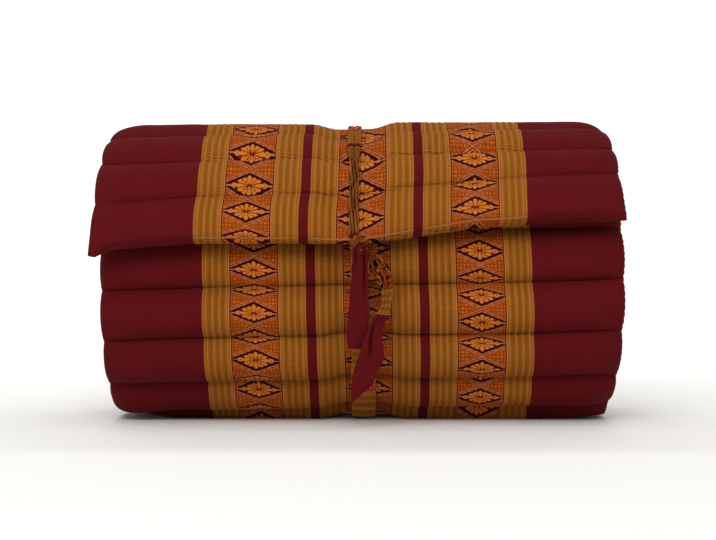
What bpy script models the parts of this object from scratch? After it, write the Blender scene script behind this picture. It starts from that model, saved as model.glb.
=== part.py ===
"""Roll-up floor mattress: a cloth case quilted crosswise into stuffed tubes,
rolled up and tied round the middle with a strap cut from the same cloth.

Metres, +Z up. The roll lies on the floor with its axis along X, and its free
end shows at the front, which faces -Y. Angles round the roll are in degrees:
0 is the front, 90 the top, 180 the back and 270 the bottom, and they go on
past 360 as the mattress winds inwards.
"""
import math

import bpy
import bmesh
from mathutils import Vector

# The mattress
WIDTH = 0.500
THICKNESS = 0.0365
TURN_PITCH = 0.038
TUBE = 0.049
EDGE_SEAM = 0.0026
END_TAPER = 0.036
NOSE_TAPER = 0.014
SEAM_NOTCH = 0.0025
INNER_GROOVE = 0.0025

# The roll
AXIS_Y = 0.0092
AXIS_Z = 0.1392
FREE_END = 16.8
FREE_END_RADIUS = 0.1685
CORE_END = 1325.0
SIDE_DRIFT = 0.0040
FATTER_RIGHT = 0.022
PRESSED = 0.005
LIFT_LEFT = 0.009
LIFT_RIGHT = 0.004
LIFT_REACH = 0.075

# Seams seen from the front, in degrees: above the free end, and below it
UPPER_SEAMS = (16.8, 33.6, 49.4, 69.0)
LOWER_SEAMS = (288.0, 310.7, 335.2, 358.3)
BACK_TUBES = 10

# How deep the seams are drawn in, as (degrees, metres)
SEAM_DEPTHS = (
    (16.8, 0.0050),
    (33.6, 0.0065),
    (69.0, 0.0075),
    (230.0, 0.0095),
    (288.0, 0.0110),
    (358.3, 0.0125),
    (400.0, 0.0035),
    (1400.0, 0.0030),
)

# Rise of the seams from left to right, as (degrees, degrees over the width)
SEAM_RISE = (
    (16.8, 11.2),
    (33.6, 12.6),
    (49.4, 8.4),
    (69.0, 8.0),
    (288.0, 7.0),
    (310.7, 8.4),
    (335.2, 6.2),
    (358.3, 5.9),
    (700.0, 2.0),
    (1400.0, 0.0),
)

# How far the tubes turn back up or down where they close at the sides, in degrees
END_TURN = (
    (16.8, 1.0),
    (33.6, 3.2),
    (49.4, 5.5),
    (69.0, 5.5),
    (110.0, 0.0),
    (250.0, 0.0),
    (288.0, -5.0),
    (310.7, -4.5),
    (335.2, -2.0),
    (358.3, 0.0),
    (400.0, 0.0),
)

# Where the free end leaves its straight line, as (metres across, degrees)
FREE_END_SHIFT = (
    (-0.250, -3.2),
    (-0.243, -3.4),
    (-0.236, -1.4),
    (-0.228, -0.2),
    (-0.150, 0.3),
    (-0.060, -1.7),
    (0.000, -3.4),
    (0.050, -2.0),
    (0.110, 0.6),
    (0.180, 0.9),
    (0.235, 0.2),
    (0.250, -2.0),
)

# The strap
STRAP_WIDTH = 0.024
STRAP_THICKNESS = 0.0022
STRAP_GAP = 0.0011
DENT = 0.0060
DENT_FLAT = 0.015
DENT_REACH = 0.045

# Middle line and section of the strap, as (degrees, x, width, thickness)
STRAP_COURSE = (
    (16.5, -0.0055, 0.0090, 0.0050),
    (24.0, -0.0062, 0.0088, 0.0056),
    (38.0, -0.0052, 0.0082, 0.0056),
    (48.0, -0.0058, 0.0102, 0.0044),
    (54.0, -0.0056, 0.0135, 0.0034),
    (90.0, -0.0050, 0.0140, 0.0028),
    (125.0, -0.0030, 0.0200, 0.0024),
    (160.0, -0.0010, 0.0240, 0.0022),
    (270.0, 0.0040, 0.0240, 0.0022),
    (318.0, 0.0035, 0.0240, 0.0022),
    (331.0, 0.0035, 0.0225, 0.0022),
    (345.0, 0.0005, 0.0180, 0.0024),
    (370.0, -0.0045, 0.0090, 0.0034),
)
STRAP_LEAVES = 331.0

# The knot
KNOT_ANGLE = 13.0
KNOT_RADIUS = 0.1675
KNOT_X = -0.0028
KNOT_SIZE = (0.0200, 0.0122, 0.0180)
KNOT_FLAT = 0.0070

# The tails, as rows of left edge (x, z), right edge (x, z) and y, in millimetres
SHORT_TAIL = (
    (-6.6, 169.2, 6.6, 169.2, -172.0),
    (-6.9, 161.0, 7.1, 161.0, -165.5),
    (-7.1, 150.0, 7.3, 150.0, -160.0),
    (-9.4, 131.4, 7.8, 131.4, -151.0),
    (-10.6, 115.0, 8.0, 115.0, -145.0),
    (-11.4, 101.0, 7.8, 101.0, -141.0),
    (-12.6, 85.5, 6.0, 85.0, -137.0),
    (-10.6, 76.4, 3.6, 75.6, -135.0),
)
LONG_TAIL = (
    (0.4, 169.0, 7.0, 169.0, -166.2),
    (6.2, 160.5, 15.8, 164.4, -160.0),
    (7.4, 152.5, 23.2, 157.6, -154.5),
    (12.0, 143.8, 28.6, 149.0, -151.0),
    (17.4, 136.0, 30.4, 139.6, -148.5),
    (19.6, 127.6, 30.2, 129.4, -146.5),
    (19.2, 117.6, 28.8, 117.6, -145.4),
    (15.2, 109.0, 26.4, 107.6, -144.8),
    (9.4, 100.6, 22.4, 99.0, -144.4),
    (5.4, 90.0, 20.6, 88.0, -144.0),
    (1.4, 77.9, 22.0, 77.0, -143.4),
    (-3.0, 65.6, 21.8, 66.4, -142.0),
    (-6.8, 53.0, 16.6, 56.0, -140.4),
    (-8.2, 39.4, 13.8, 48.0, -138.6),
    (-8.2, 25.0, 11.8, 42.6, -136.8),
)


def table(rows, at):
    """Value of a two-column table at a point, in straight lines between rows."""
    if at <= rows[0][0]:
        return rows[0][1]
    for (x0, y0), (x1, y1) in zip(rows, rows[1:]):
        if at <= x1:
            return y0 + (y1 - y0) * (at - x0) / (x1 - x0)
    return rows[-1][1]


def ellipse(distance, length):
    """Height from 0 to 1 of a quarter ellipse that starts at an edge."""
    if distance >= length:
        return 1.0
    return math.sqrt(max(0.0, 1.0 - (1.0 - distance / length) ** 2))


def smooth(value):
    """Smooth step from 0 to 1."""
    value = min(1.0, max(0.0, value))
    return value * value * (3.0 - 2.0 * value)


def outer_radius(angle):
    """Radius of the tubes' crowns."""
    return FREE_END_RADIUS - TURN_PITCH * (angle - FREE_END) / 360.0


def arc_at(angle):
    """Length along the middle of the mattress from the free end."""
    turn = math.radians(angle - FREE_END)
    middle = FREE_END_RADIUS - THICKNESS / 2
    return middle * turn - TURN_PITCH / (4 * math.pi) * turn * turn


def angle_at(arc):
    """Inverse of arc_at."""
    middle = FREE_END_RADIUS - THICKNESS / 2
    drop = TURN_PITCH / (2 * math.pi)
    turn = (middle - math.sqrt(middle * middle - 2 * drop * arc)) / drop
    return FREE_END + math.degrees(turn)


def seam_arcs():
    """Places of the seams along the mattress, with those of both ends."""
    arcs = [arc_at(angle) for angle in UPPER_SEAMS]
    start = arcs[-1]
    stop = arc_at(LOWER_SEAMS[0])
    for number in range(1, BACK_TUBES):
        arcs.append(start + (stop - start) * number / BACK_TUBES)
    arcs += [arc_at(angle) for angle in LOWER_SEAMS]
    start = arcs[-1]
    stop = arc_at(CORE_END)
    count = round((stop - start) / TUBE)
    for number in range(1, count + 1):
        arcs.append(start + (stop - start) * number / count)
    return arcs


def mattress_rows():
    """Rows of points along the mattress, as (arc, place in the tube 0 to 1)."""
    arcs = seam_arcs()
    rows = []
    last = len(arcs) - 2
    for tube, (start, stop) in enumerate(zip(arcs, arcs[1:])):
        if tube == 0:
            places = (0.0, 0.03, 0.09, 0.18, 0.32, 0.55, 0.80, 0.93)
        elif tube == last:
            places = (0.0, 0.25, 0.50, 0.72, 0.86, 0.95, 1.0)
        elif angle_at(start) < 376.0:
            places = (0.0, 0.07, 0.24, 0.50, 0.76, 0.93)
        else:
            places = (0.0, 0.22, 0.50, 0.78)
        for place in places:
            rows.append((start + (stop - start) * place, place))
    return rows


def strap_x(angle):
    """Middle line of the strap across the roll."""
    return table([(row[0], row[1]) for row in STRAP_COURSE], angle)


def dent(x, angle):
    """How far the strap draws the cloth in."""
    away = abs(x - strap_x(angle))
    return DENT * (1.0 - smooth((away - DENT_FLAT) / (DENT_REACH - DENT_FLAT)))


def settle(height, floor):
    """Height of a point of the roll's skin once the roll has settled."""
    if height < floor + PRESSED:
        return floor
    if height < floor + 3 * PRESSED:
        return floor + (height - floor - PRESSED) * 1.5
    return height


def end_lift(across):
    """How far the lowest tubes stand off the floor towards their ends."""
    most = LIFT_LEFT if across < 0.0 else LIFT_RIGHT
    from_side = WIDTH / 2 - abs(across)
    return most * (1.0 - smooth(from_side / LIFT_REACH))


def round_roll(x, angle, radius):
    """Point at a radius and an angle round the axis of the roll."""
    turn = math.radians(angle)
    y = AXIS_Y - radius * math.cos(turn)
    z = AXIS_Z + radius * math.sin(turn)
    return Vector((x, y, z))


def outwards(angle):
    """Direction away from the axis of the roll."""
    turn = math.radians(angle)
    return Vector((0.0, -math.cos(turn), math.sin(turn)))


def slab(name, columns, rows, place):
    """Closed slab of a grid of columns by rows, its points set by place()."""
    bm = bmesh.new()
    bmesh.ops.create_grid(bm, x_segments=columns - 1, y_segments=rows - 1, size=0.5)
    top = set(bm.verts)
    bmesh.ops.extrude_face_region(bm, geom=bm.faces[:])
    for vert in bm.verts:
        column = round((vert.co.x + 0.5) * (columns - 1))
        row = round((vert.co.y + 0.5) * (rows - 1))
        side = 0 if vert in top else 1
        vert.co = place(column, row, side)
    bmesh.ops.recalc_face_normals(bm, faces=bm.faces[:])
    return finish_mesh(name, bm)


def finish_mesh(name, bm):
    """Object from a bmesh, shaded smooth with its sharp edges kept."""
    mesh = bpy.data.meshes.new(name)
    bm.to_mesh(mesh)
    bm.free()
    mesh.shade_smooth()
    mesh.set_sharp_from_angle(angle=math.radians(50))
    obj = bpy.data.objects.new(name, mesh)
    COLLECTION.objects.link(obj)
    return obj


def cloth(name, colour, roughness):
    """Cloth material."""
    material = bpy.data.materials.new(name)
    material.use_nodes = True
    shader = material.node_tree.nodes["Principled BSDF"]
    shader.inputs["Base Color"].default_value = (*colour, 1.0)
    shader.inputs["Roughness"].default_value = roughness
    return material


def make_mattress():
    """The wound mattress, one slab of tubes."""
    rows = mattress_rows()
    length = rows[-1][0]

    def place(column, row, side):
        arc, spot = rows[row]
        middle = angle_at(arc)
        drift = SIDE_DRIFT * min(1.0, (middle - FREE_END) / 340.0) - SIDE_DRIFT / 2
        edge = (0.0, 0.005, 0.017, 0.040, 0.078)
        half = WIDTH / 2
        if column < 5:
            across = -half + edge[column]
        elif column > 8:
            across = half - edge[13 - column]
        else:
            across = strap_x(middle) - drift + (-0.045, -0.015, 0.015, 0.045)[column - 5]
        from_side = half - abs(across)
        share = across / WIDTH
        angle = middle + table(SEAM_RISE, middle) * share
        fade = 1.0 - smooth((middle - FREE_END) / 30.0)
        angle += table(FREE_END_SHIFT, across) * fade

        crown = math.sqrt(max(0.0, 1.0 - (2.0 * spot - 1.0) ** 2))
        from_free_end = arc
        from_core = length - arc
        if (from_free_end < 0.02) or (from_core < 0.02):
            crown = 1.0
        depth = table(SEAM_DEPTHS, middle) * (1.0 - crown)
        groove = INNER_GROOVE * (1.0 - crown)
        full = THICKNESS - 0.0008 * smooth((middle - 600.0) / 400.0)
        edge_line = full * (0.35 + 0.15 * min(1.0, from_free_end / 0.020))
        side_fill = ellipse(from_side, END_TAPER)
        angle += table(END_TURN, middle) * (1.0 - side_fill)
        if side == 0:
            fill = side_fill * ellipse(from_free_end, NOSE_TAPER) * ellipse(from_core, 0.012)
            flat = edge_line - EDGE_SEAM / 2
            down = flat + (depth - flat) * fill
            if middle < 400.0:
                down += dent(across + drift, middle) * fill
        else:
            fill = side_fill * ellipse(from_free_end, 0.010) * ellipse(from_core, 0.012)
            flat = edge_line + EDGE_SEAM / 2
            down = flat + (full - groove - flat) * fill

        notch = SEAM_NOTCH * (1.0 - crown) * (1.0 - smooth(from_side / 0.03))
        across -= math.copysign(notch, across)
        scale = 1.0 + FATTER_RIGHT * share
        point = round_roll(across + drift, angle, (outer_radius(angle) - down) * scale)
        if side == 0:
            point.z = settle(point.z, dent(point.x, middle) + end_lift(across))
        return point

    return slab("mattress", 14, len(rows), place)


def strap_row(angle):
    """Middle x, width and thickness of the strap at an angle."""
    values = []
    for column in (1, 2, 3):
        values.append(table([(row[0], row[column]) for row in STRAP_COURSE], angle))
    return values


def knot_point(x, out, up):
    """Point in the knot's own frame: across, outwards and upwards."""
    turn = math.radians(KNOT_ANGLE)
    middle = round_roll(x, KNOT_ANGLE, KNOT_RADIUS + out)
    return middle + Vector((0.0, math.sin(turn), math.cos(turn))) * up


def make_band():
    """The strap round the roll, open at the knot."""
    angles = [16.5, 21.0, 27.0]
    while angles[-1] < STRAP_LEAVES - 8.0:
        angles.append(angles[-1] + 7.6)
    leave = STRAP_LEAVES
    start = round_roll(0.0, leave, outer_radius(leave) - DENT + STRAP_GAP)
    end = knot_point(0.0, -0.0050, -KNOT_FLAT - 0.00035)
    angles += [leave, 342.0, 352.0, 362.0, 370.0]
    columns = 5

    def place(column, row, side):
        angle = angles[row]
        middle, width, thick = strap_row(angle)
        across = column / (columns - 1) * 2.0 - 1.0
        x = middle + across * width / 2
        body = thick * (0.45 + 0.55 * math.sqrt(1.0 - 0.98 * across * across))
        lift = 0.0 if side == 0 else body
        if row == 0:
            return knot_point(x, -0.0030 + lift, KNOT_FLAT + 0.00035)
        if row == len(angles) - 1:
            return knot_point(x, -0.0050 + lift, -KNOT_FLAT - 0.00035)
        if angle > leave:
            share = (angle - leave) / (370.0 - leave)
            on_line = start.lerp(end, share)
            point = on_line + outwards(leave) * lift
            point.x = x
            return point
        point = round_roll(x, angle, outer_radius(angle) - DENT)
        point.z = settle(point.z, DENT)
        return point + outwards(angle) * (STRAP_GAP + lift)

    return slab("tie_band", columns, len(angles), place)


def make_knot():
    """The knot, a lump of two crossing turns with flat places for the ends."""
    bm = bmesh.new()
    bmesh.ops.create_uvsphere(bm, u_segments=24, v_segments=14, radius=0.5)
    wide, deep, tall = KNOT_SIZE
    for vert in bm.verts:
        x, out, up = vert.co
        groove = abs(math.sin(3.4 * (up + 0.55 * x)))
        swell = 1.0 - 0.16 * (1.0 - groove) ** 2
        up = up * tall
        up = max(-KNOT_FLAT, min(KNOT_FLAT, up))
        vert.co = knot_point(KNOT_X + x * wide * swell, -out * deep * swell, up)
    bmesh.ops.recalc_face_normals(bm, faces=bm.faces[:])
    return finish_mesh("tie_knot", bm)


def make_tail(name, rows, fold, start_out):
    """A hanging end of the strap: rows of edges with lengthwise folds."""
    columns = 9

    def place(column, row, side):
        left_x, left_z, right_x, right_z, y = rows[row]
        share = column / (columns - 1)
        x = (left_x + (right_x - left_x) * share) / 1000.0
        z = (left_z + (right_z - left_z) * share) / 1000.0
        depth = y / 1000.0 + AXIS_Y
        thick = STRAP_THICKNESS if 0 < column < columns - 1 else STRAP_THICKNESS * 0.6
        rise = fold(share, row / (len(rows) - 1))
        lift = rise + (thick / 2 if side == 1 else -thick / 2)
        if row == 0:
            return knot_point(x, start_out + lift * 0.9, -KNOT_FLAT - 0.00035)
        return Vector((x, depth - lift, z))

    return slab(name, columns, len(rows), place)


def short_folds(share, along):
    """Two lengthwise folds that open out towards the end."""
    ease = 1.0 - 0.8 * smooth(along)
    return 0.0011 * ease * math.cos(share * 4.0 * math.pi)


def long_folds(share, along):
    """Gathered at the knot, one fold half way, flat at the end."""
    ease = 1.0 - smooth((along - 0.35) / 0.4)
    wave = 0.0016 * ease * math.cos(share * 4.0 * math.pi + 0.6)
    slit = 0.0022 * math.exp(-((along - 0.68) / 0.10) ** 2 - ((share - 0.42) / 0.14) ** 2)
    return wave - slit


def clear_scene():
    """Start from an empty scene."""
    for obj in list(bpy.data.objects):
        bpy.data.objects.remove(obj)


clear_scene()
COLLECTION = bpy.data.collections.new("rollup_floor_mattress")
bpy.context.scene.collection.children.link(COLLECTION)

MAROON = cloth("maroon cotton", (0.125, 0.011, 0.014), 0.85)
GOLD = cloth("gold and orange brocade", (0.29, 0.10, 0.012), 0.80)
WINE = cloth("maroon strap cloth", (0.075, 0.006, 0.009), 0.85)
KNOTTED = cloth("knotted strap cloth", (0.20, 0.05, 0.03), 0.85)
FADED = cloth("creased strap cloth", (0.11, 0.010, 0.016), 0.85)

make_mattress().data.materials.append(MAROON)
make_band().data.materials.append(GOLD)
make_knot().data.materials.append(KNOTTED)
make_tail("short_tail", SHORT_TAIL, short_folds, 0.0022).data.materials.append(WINE)
make_tail("long_tail", LONG_TAIL, long_folds, -0.0022).data.materials.append(FADED)
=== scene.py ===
"""Looks of the roll-up floor mattress: its quilted case with woven bands, the
hand-sewn edge, and the strap with its knot and two ends. Metres, +Z up, with
the front of the roll facing -Y.
"""
import bisect
import math

import bmesh
import bpy
from mathutils import Matrix, Vector, noise


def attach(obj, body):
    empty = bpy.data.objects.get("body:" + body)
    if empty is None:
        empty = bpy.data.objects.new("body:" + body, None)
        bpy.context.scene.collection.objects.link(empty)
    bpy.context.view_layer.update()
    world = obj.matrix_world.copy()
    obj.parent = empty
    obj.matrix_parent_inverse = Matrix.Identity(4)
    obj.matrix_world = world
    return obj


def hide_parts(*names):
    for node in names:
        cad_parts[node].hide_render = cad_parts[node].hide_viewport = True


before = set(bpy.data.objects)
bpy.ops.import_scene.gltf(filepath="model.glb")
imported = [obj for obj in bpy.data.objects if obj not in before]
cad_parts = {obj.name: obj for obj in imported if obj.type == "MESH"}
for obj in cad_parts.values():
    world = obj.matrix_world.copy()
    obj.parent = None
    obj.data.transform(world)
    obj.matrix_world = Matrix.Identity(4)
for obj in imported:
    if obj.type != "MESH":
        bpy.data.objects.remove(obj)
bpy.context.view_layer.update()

# The mattress, as it is cut and stuffed
WIDTH = 0.500
THICKNESS = 0.0365
TURN_PITCH = 0.038
TUBE = 0.049
EDGE_SEAM = 0.0026
END_TAPER = 0.036
NOSE_TAPER = 0.014
CORE_TAPER = 0.012
NOSE_TAPER_INSIDE = 0.010
NOSE_RISE = 0.020
SEAM_NOTCH = 0.0025
NOTCH_REACH = 0.03
INNER_GROOVE = 0.0025
TUBE_ROUNDNESS = 0.75
PLAIN_END = 0.02
THINNER_INSIDE = 0.0008
THINNER_FROM = 600.0
THINNER_OVER = 400.0
EDGE_AT_NOSE = 0.35
EDGE_RISE = 0.15

# The roll, with angles in degrees: 0 front, 90 top, 180 back, 270 bottom
AXIS_Y = 0.0092
AXIS_Z = 0.1392
FREE_END = 16.8
FREE_END_RADIUS = 0.1685
CORE_END = 1325.0
SIDE_DRIFT = 0.0040
DRIFT_TURN = 340.0
FATTER_RIGHT = 0.022
PRESSED = 0.005
LIFT_LEFT = 0.009
LIFT_RIGHT = 0.004
LIFT_REACH = 0.075
UPPER_SEAMS = (16.8, 33.6, 49.4, 69.0)
LOWER_SEAMS = (288.0, 310.7, 335.2, 358.3)
BACK_TUBES = 10
SHOWN_TO = 392.0
OUTER_TURN_TO = 400.0

# Relief of the stuffed cloth, in metres
LUMP = 0.0010
FINE_LUMP = 0.00035
PUCKER = 0.0008
SEAM_PINCH = 0.0012
PINCH_REACH = 0.03
RIB_HEIGHT = 0.00030
RIB_AT_SEAM = 0.00055
END_FOLD = 0.0016
END_FOLD_REACH = 0.05
STRAP_PULL = 0.0030
PULL_START = 0.008
PULL_REACH = 0.012

# Waver of the seams, in degrees, and reach of the free end's own line
SEAM_WAVER = 0.35
FREE_END_FADE = 30.0

# How deep the seams are drawn in, as (degrees, metres)
SEAM_DEPTHS = (
    (16.8, 0.0050),
    (33.6, 0.0065),
    (69.0, 0.0075),
    (230.0, 0.0095),
    (288.0, 0.0110),
    (358.3, 0.0125),
    (400.0, 0.0035),
    (1400.0, 0.0030),
)

# Rise of the seams from left to right, as (degrees, degrees over the width)
SEAM_RISE = (
    (16.8, 11.2),
    (33.6, 12.6),
    (49.4, 8.4),
    (69.0, 8.0),
    (288.0, 7.0),
    (310.7, 8.4),
    (335.2, 6.2),
    (358.3, 5.9),
    (700.0, 2.0),
    (1400.0, 0.0),
)

# How much the lower seams bend at the sides and run level between
SEAM_BEND = (
    (69.0, 0.0),
    (288.0, 0.2),
    (310.7, 0.3),
    (335.2, 1.0),
    (358.3, 1.0),
    (400.0, 0.0),
)

# How far the tubes turn back up or down where they close at the sides, in degrees
END_TURN = (
    (16.8, 1.0),
    (33.6, 3.2),
    (49.4, 5.5),
    (69.0, 5.5),
    (110.0, 0.0),
    (250.0, 0.0),
    (288.0, -5.0),
    (310.7, -4.5),
    (335.2, -2.0),
    (358.3, 0.0),
    (400.0, 0.0),
)

# Where the free end leaves its straight line, as (metres across, degrees)
FREE_END_SHIFT = (
    (-0.250, -3.2),
    (-0.243, -3.4),
    (-0.236, -1.4),
    (-0.228, -0.2),
    (-0.150, 0.3),
    (-0.060, -1.7),
    (0.000, -3.4),
    (0.050, -2.0),
    (0.110, 0.6),
    (0.180, 0.9),
    (0.235, 0.2),
    (0.250, -2.0),
)

# The strap
STRAP_WIDTH = 0.024
STRAP_THICKNESS = 0.0022
STRAP_GAP = 0.0011
DENT = 0.0060
DENT_FLAT = 0.015
DENT_REACH = 0.045
STRAP_LEAVES = 331.0
GATHER_WIDTH = 0.0185
GATHER_SPAN = 0.008
CORDS_END = 45.0
CORD_SWING = 0.30
CORD_TURN = 26.0
CORD_RIM = 0.14
TWIST_FROM = 22.0
TWIST_TO = 38.0
TWIST_LEVEL = 20.0
THINNED = 0.55
THINNED_FROM = 60.0
FALL_TO_KNOT = 24.0
BAND_FIRST_OUT = -0.0030
BAND_LAST_OUT = -0.0050
FLAT_RIM = 0.40
PLEAT = 0.26
PLEATS = 7
CRUSHED = 0.012

# Middle line and section of the strap, as (degrees, x, width, thickness)
STRAP_COURSE = (
    (16.5, -0.0055, 0.0090, 0.0050),
    (24.0, -0.0062, 0.0088, 0.0056),
    (38.0, -0.0052, 0.0082, 0.0056),
    (48.0, -0.0058, 0.0102, 0.0044),
    (54.0, -0.0056, 0.0135, 0.0034),
    (90.0, -0.0050, 0.0140, 0.0028),
    (125.0, -0.0030, 0.0200, 0.0024),
    (160.0, -0.0010, 0.0240, 0.0022),
    (270.0, 0.0040, 0.0240, 0.0022),
    (318.0, 0.0035, 0.0240, 0.0022),
    (331.0, 0.0035, 0.0225, 0.0022),
    (345.0, 0.0005, 0.0180, 0.0024),
    (370.0, -0.0045, 0.0090, 0.0034),
)

# Which part of the cloth's width the strap shows, as (degrees, metres from
# the middle of the pattern). The cloth turns back where its pattern mirrors.
STRAP_CLOTH = (
    (43.2, -0.0850),
    (52.6, -0.0585),
    (54.6, -0.0495),
    (66.0, -0.0230),
    (112.8, 0.1080),
    (190.0, -0.1080),
    (285.0, 0.1575),
    (307.6, 0.1310),
    (318.0, 0.0850),
    (332.0, 0.0585),
    (335.0, 0.0495),
    (352.0, 0.0230),
    (372.0, -0.0200),
)

# The knot
KNOT_ANGLE = 13.0
KNOT_RADIUS = 0.1675
KNOT_X = -0.0028
KNOT_FLAT = 0.0070
KNOT_CLEAR = 0.00035
KNOT_CREASE = 0.10
KNOT_SWELL = 0.08

# The tails, as rows of left edge (x, z), right edge (x, z) and y, in millimetres
SHORT_TAIL = (
    (-6.6, 169.2, 6.6, 169.2, -172.0),
    (-6.9, 161.0, 7.1, 161.0, -165.5),
    (-7.1, 150.0, 7.3, 150.0, -160.0),
    (-9.4, 131.4, 7.8, 131.4, -151.0),
    (-10.6, 115.0, 8.0, 115.0, -145.0),
    (-11.4, 101.0, 7.8, 101.0, -141.0),
    (-12.6, 85.5, 6.0, 85.0, -137.0),
    (-10.6, 76.4, 3.6, 75.6, -135.0),
)
LONG_TAIL = (
    (0.4, 169.0, 7.0, 169.0, -166.2),
    (6.2, 160.5, 15.8, 164.4, -160.0),
    (7.4, 152.5, 23.2, 157.6, -154.5),
    (12.0, 143.8, 28.6, 149.0, -151.0),
    (17.4, 136.0, 30.4, 139.6, -148.5),
    (19.6, 127.6, 30.2, 129.4, -146.5),
    (19.2, 117.6, 28.8, 117.6, -145.4),
    (15.2, 109.0, 26.4, 107.6, -144.8),
    (9.4, 100.6, 22.4, 99.0, -144.4),
    (5.4, 90.0, 20.6, 88.0, -144.0),
    (1.4, 77.9, 22.0, 77.0, -143.4),
    (-3.0, 65.6, 21.8, 66.4, -142.0),
    (-6.8, 53.0, 16.6, 56.0, -140.4),
    (-8.2, 39.4, 13.8, 48.0, -138.6),
    (-8.2, 25.0, 11.8, 42.6, -136.8),
)

# Lumps of the knot: size, place (across, outwards, upwards) in millimetres, and
# which part of the cloth's width they show
KNOT_LUMPS = (
    ((12.0, 8.4, 10.0), (0.0, 0.0, 0.0), -0.1250),
    ((4.2, 4.0, 4.4), (-5.6, 2.6, 3.4), -0.1700),
)

# The turn of the strap over the knot: across, outwards, upwards and width
KNOT_TURN = (
    (4.8, -2.4, 3.4, 3.4),
    (4.0, 2.2, 2.6, 4.2),
    (1.4, 4.6, 0.8, 5.0),
    (-1.4, 5.0, -2.4, 5.2),
    (-3.2, 4.4, -5.8, 4.6),
    (-4.2, 2.8, -9.4, 3.4),
    (-4.4, -1.6, -13.0, 2.0),
)

# Which part of the cloth's width the ends show, as (share of their length,
# metres from the middle of the pattern)
SHORT_TAIL_CLOTH = ((0.0, -0.1600), (1.0, -0.2500))
LONG_TAIL_CLOTH = (
    (0.0, 0.0850),
    (0.33, 0.1310),
    (0.50, 0.1575),
    (0.52, 0.1600),
    (1.0, 0.2500),
)

# Depths of the folds in the short end and in the long end, in metres
BELLY = 0.0010
LEFT_FOLD = 0.0030
RIGHT_FOLD = 0.0036
CRUMPLE = 0.0042
SLIT = 0.0046

# Where the ends leave the knot, outwards and upwards from its middle
SHORT_TAIL_START = (0.0022, -0.0045)
LONG_TAIL_START = (-0.0022, -0.0060)

# Middle of the pattern across the mattress, in metres
PATTERN_X = 0.0057

# The woven bands, in millimetres from the middle of the pattern. They repeat
# every 108 mm and mirror: flower band, gold band, maroon stripe. A gold band
# is ribbed over GOLD_HALF each way from its middle, and the weft runs aslant.
REPEAT = 108.0
FLOWER_HALF = 23.0
STRIPE_HALF = 4.7
PATTERN_HALF = 157.5
LOZENGE = 28.8
LOZENGE_HALF = 11.4
GOLD_HALF = 12.8
RIB = 6.5
RIB_START = 3.2
WEFT_SLANT = 0.065
THREAD = 0.75

# How many lozenges lie between the free end and a place on the mattress, as
# (millimetres along its middle, lozenges); seams take up cloth between them
LOZENGES_ALONG = (
    (0.0, 0.15),
    (11.0, 0.75),
    (24.0, 1.25),
    (36.5, 1.75),
    (50.5, 2.25),
    (65.0, 2.75),
    (90.5, 3.25),
    (109.0, 3.75),
    (640.0, 26.70),
    (675.0, 27.77),
    (685.5, 28.26),
    (711.0, 29.76),
    (725.0, 30.26),
    (735.5, 30.76),
    (741.0, 31.25),
    (756.5, 31.77),
    (767.0, 32.26),
    (778.5, 32.76),
    (792.5, 33.77),
    (802.5, 34.26),
    (814.5, 34.76),
    (2200.0, 89.6),
)

# How the pattern wanders sideways round the roll, as (degrees, metres), and how
# much it is drawn together, as (degrees, share)
PATTERN_WANDER = (
    (17.0, -0.0034),
    (26.0, -0.0033),
    (36.0, -0.0017),
    (180.0, 0.0),
    (300.0, 0.0025),
    (327.0, 0.0010),
    (349.0, -0.0004),
    (370.0, -0.0016),
)
PATTERN_DRAWN = ((60.0, 1.018), (180.0, 1.0), (327.0, 1.0), (349.0, 1.006), (370.0, 1.014))

# How far the case shows its woven face round the free end, where the pattern
# then lies, and a place across in the plain margin, all in metres
TURNED_UNDER = 0.020
UNDER_SHIFT = 0.0040
PLAIN_MARGIN = 0.3

# Pale line between two bands, and the same line on the strap's cords, in metres from the middle
# of the pattern; the cords stray from it as far as the first value below in their groove, onto
# the dark ground beside it as painted shade between the cords, and as far as PLEAT_LINE at their
# pleats
PALE_LINE = 0.0237
CORD_LINE = -0.1317
GROOVE_SHADE = 0.0015
PLEAT_LINE = 0.0008

# Stitched crease beside the free end, and the sewn ridge below it
END_CREASE = 0.0095
CREASE_DEPTH = 0.0012
CREASE_WIDTH = 0.0022
RIDGE_ARC = 0.0018
RIDGE_HEIGHT = 0.0010
RIDGE_ROOT = 0.0012
RIDGE_WIDTH = 0.0018
RIDGE_SHORTER = 0.004
RIDGE_TURN = 14.0

# Overcast stitches on the right-hand end
STITCH_PITCH = 0.0062
STITCH_THICKNESS = 0.0014
STITCH_OVERLAP = 0.0022
STITCH_START = 0.005
STITCH_LEAN = 0.7
STITCH_PROUD = 0.0002

# Places of the flat blank's columns from the edge, and of its rows in a tube
EDGE_COLUMNS = (0.0, 0.0025, 0.006, 0.012, 0.020, 0.030, 0.042)
FIRST_TUBE_ROWS = (0.0, 0.05, 0.14, 0.28, 0.60, 0.92)
TUBE_ROWS = (0.0, 0.08, 0.32, 0.68, 0.92)
LAST_TUBE_ROWS = (0.0, 0.25, 0.50, 0.72, 0.86, 0.95, 1.0)

# Points across and along each strip of cloth
BAND_GRID = (29, 321)
TURN_GRID = (31, 61)
RIDGE_GRID = (9, 501)
TAIL_COLUMNS = 33
TAIL_STEPS = 12

# Camera, as millimetres of lens and metres
CAMERA_AWAY = 1.5
CAMERA_X = -0.002
CAMERA_Z = 0.150
LENS = 73.2

# Stage, in metres
STAGE_HALF = 4.0
WALL_HEIGHT = 3.0
WALL_BEND = 1.5

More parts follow.
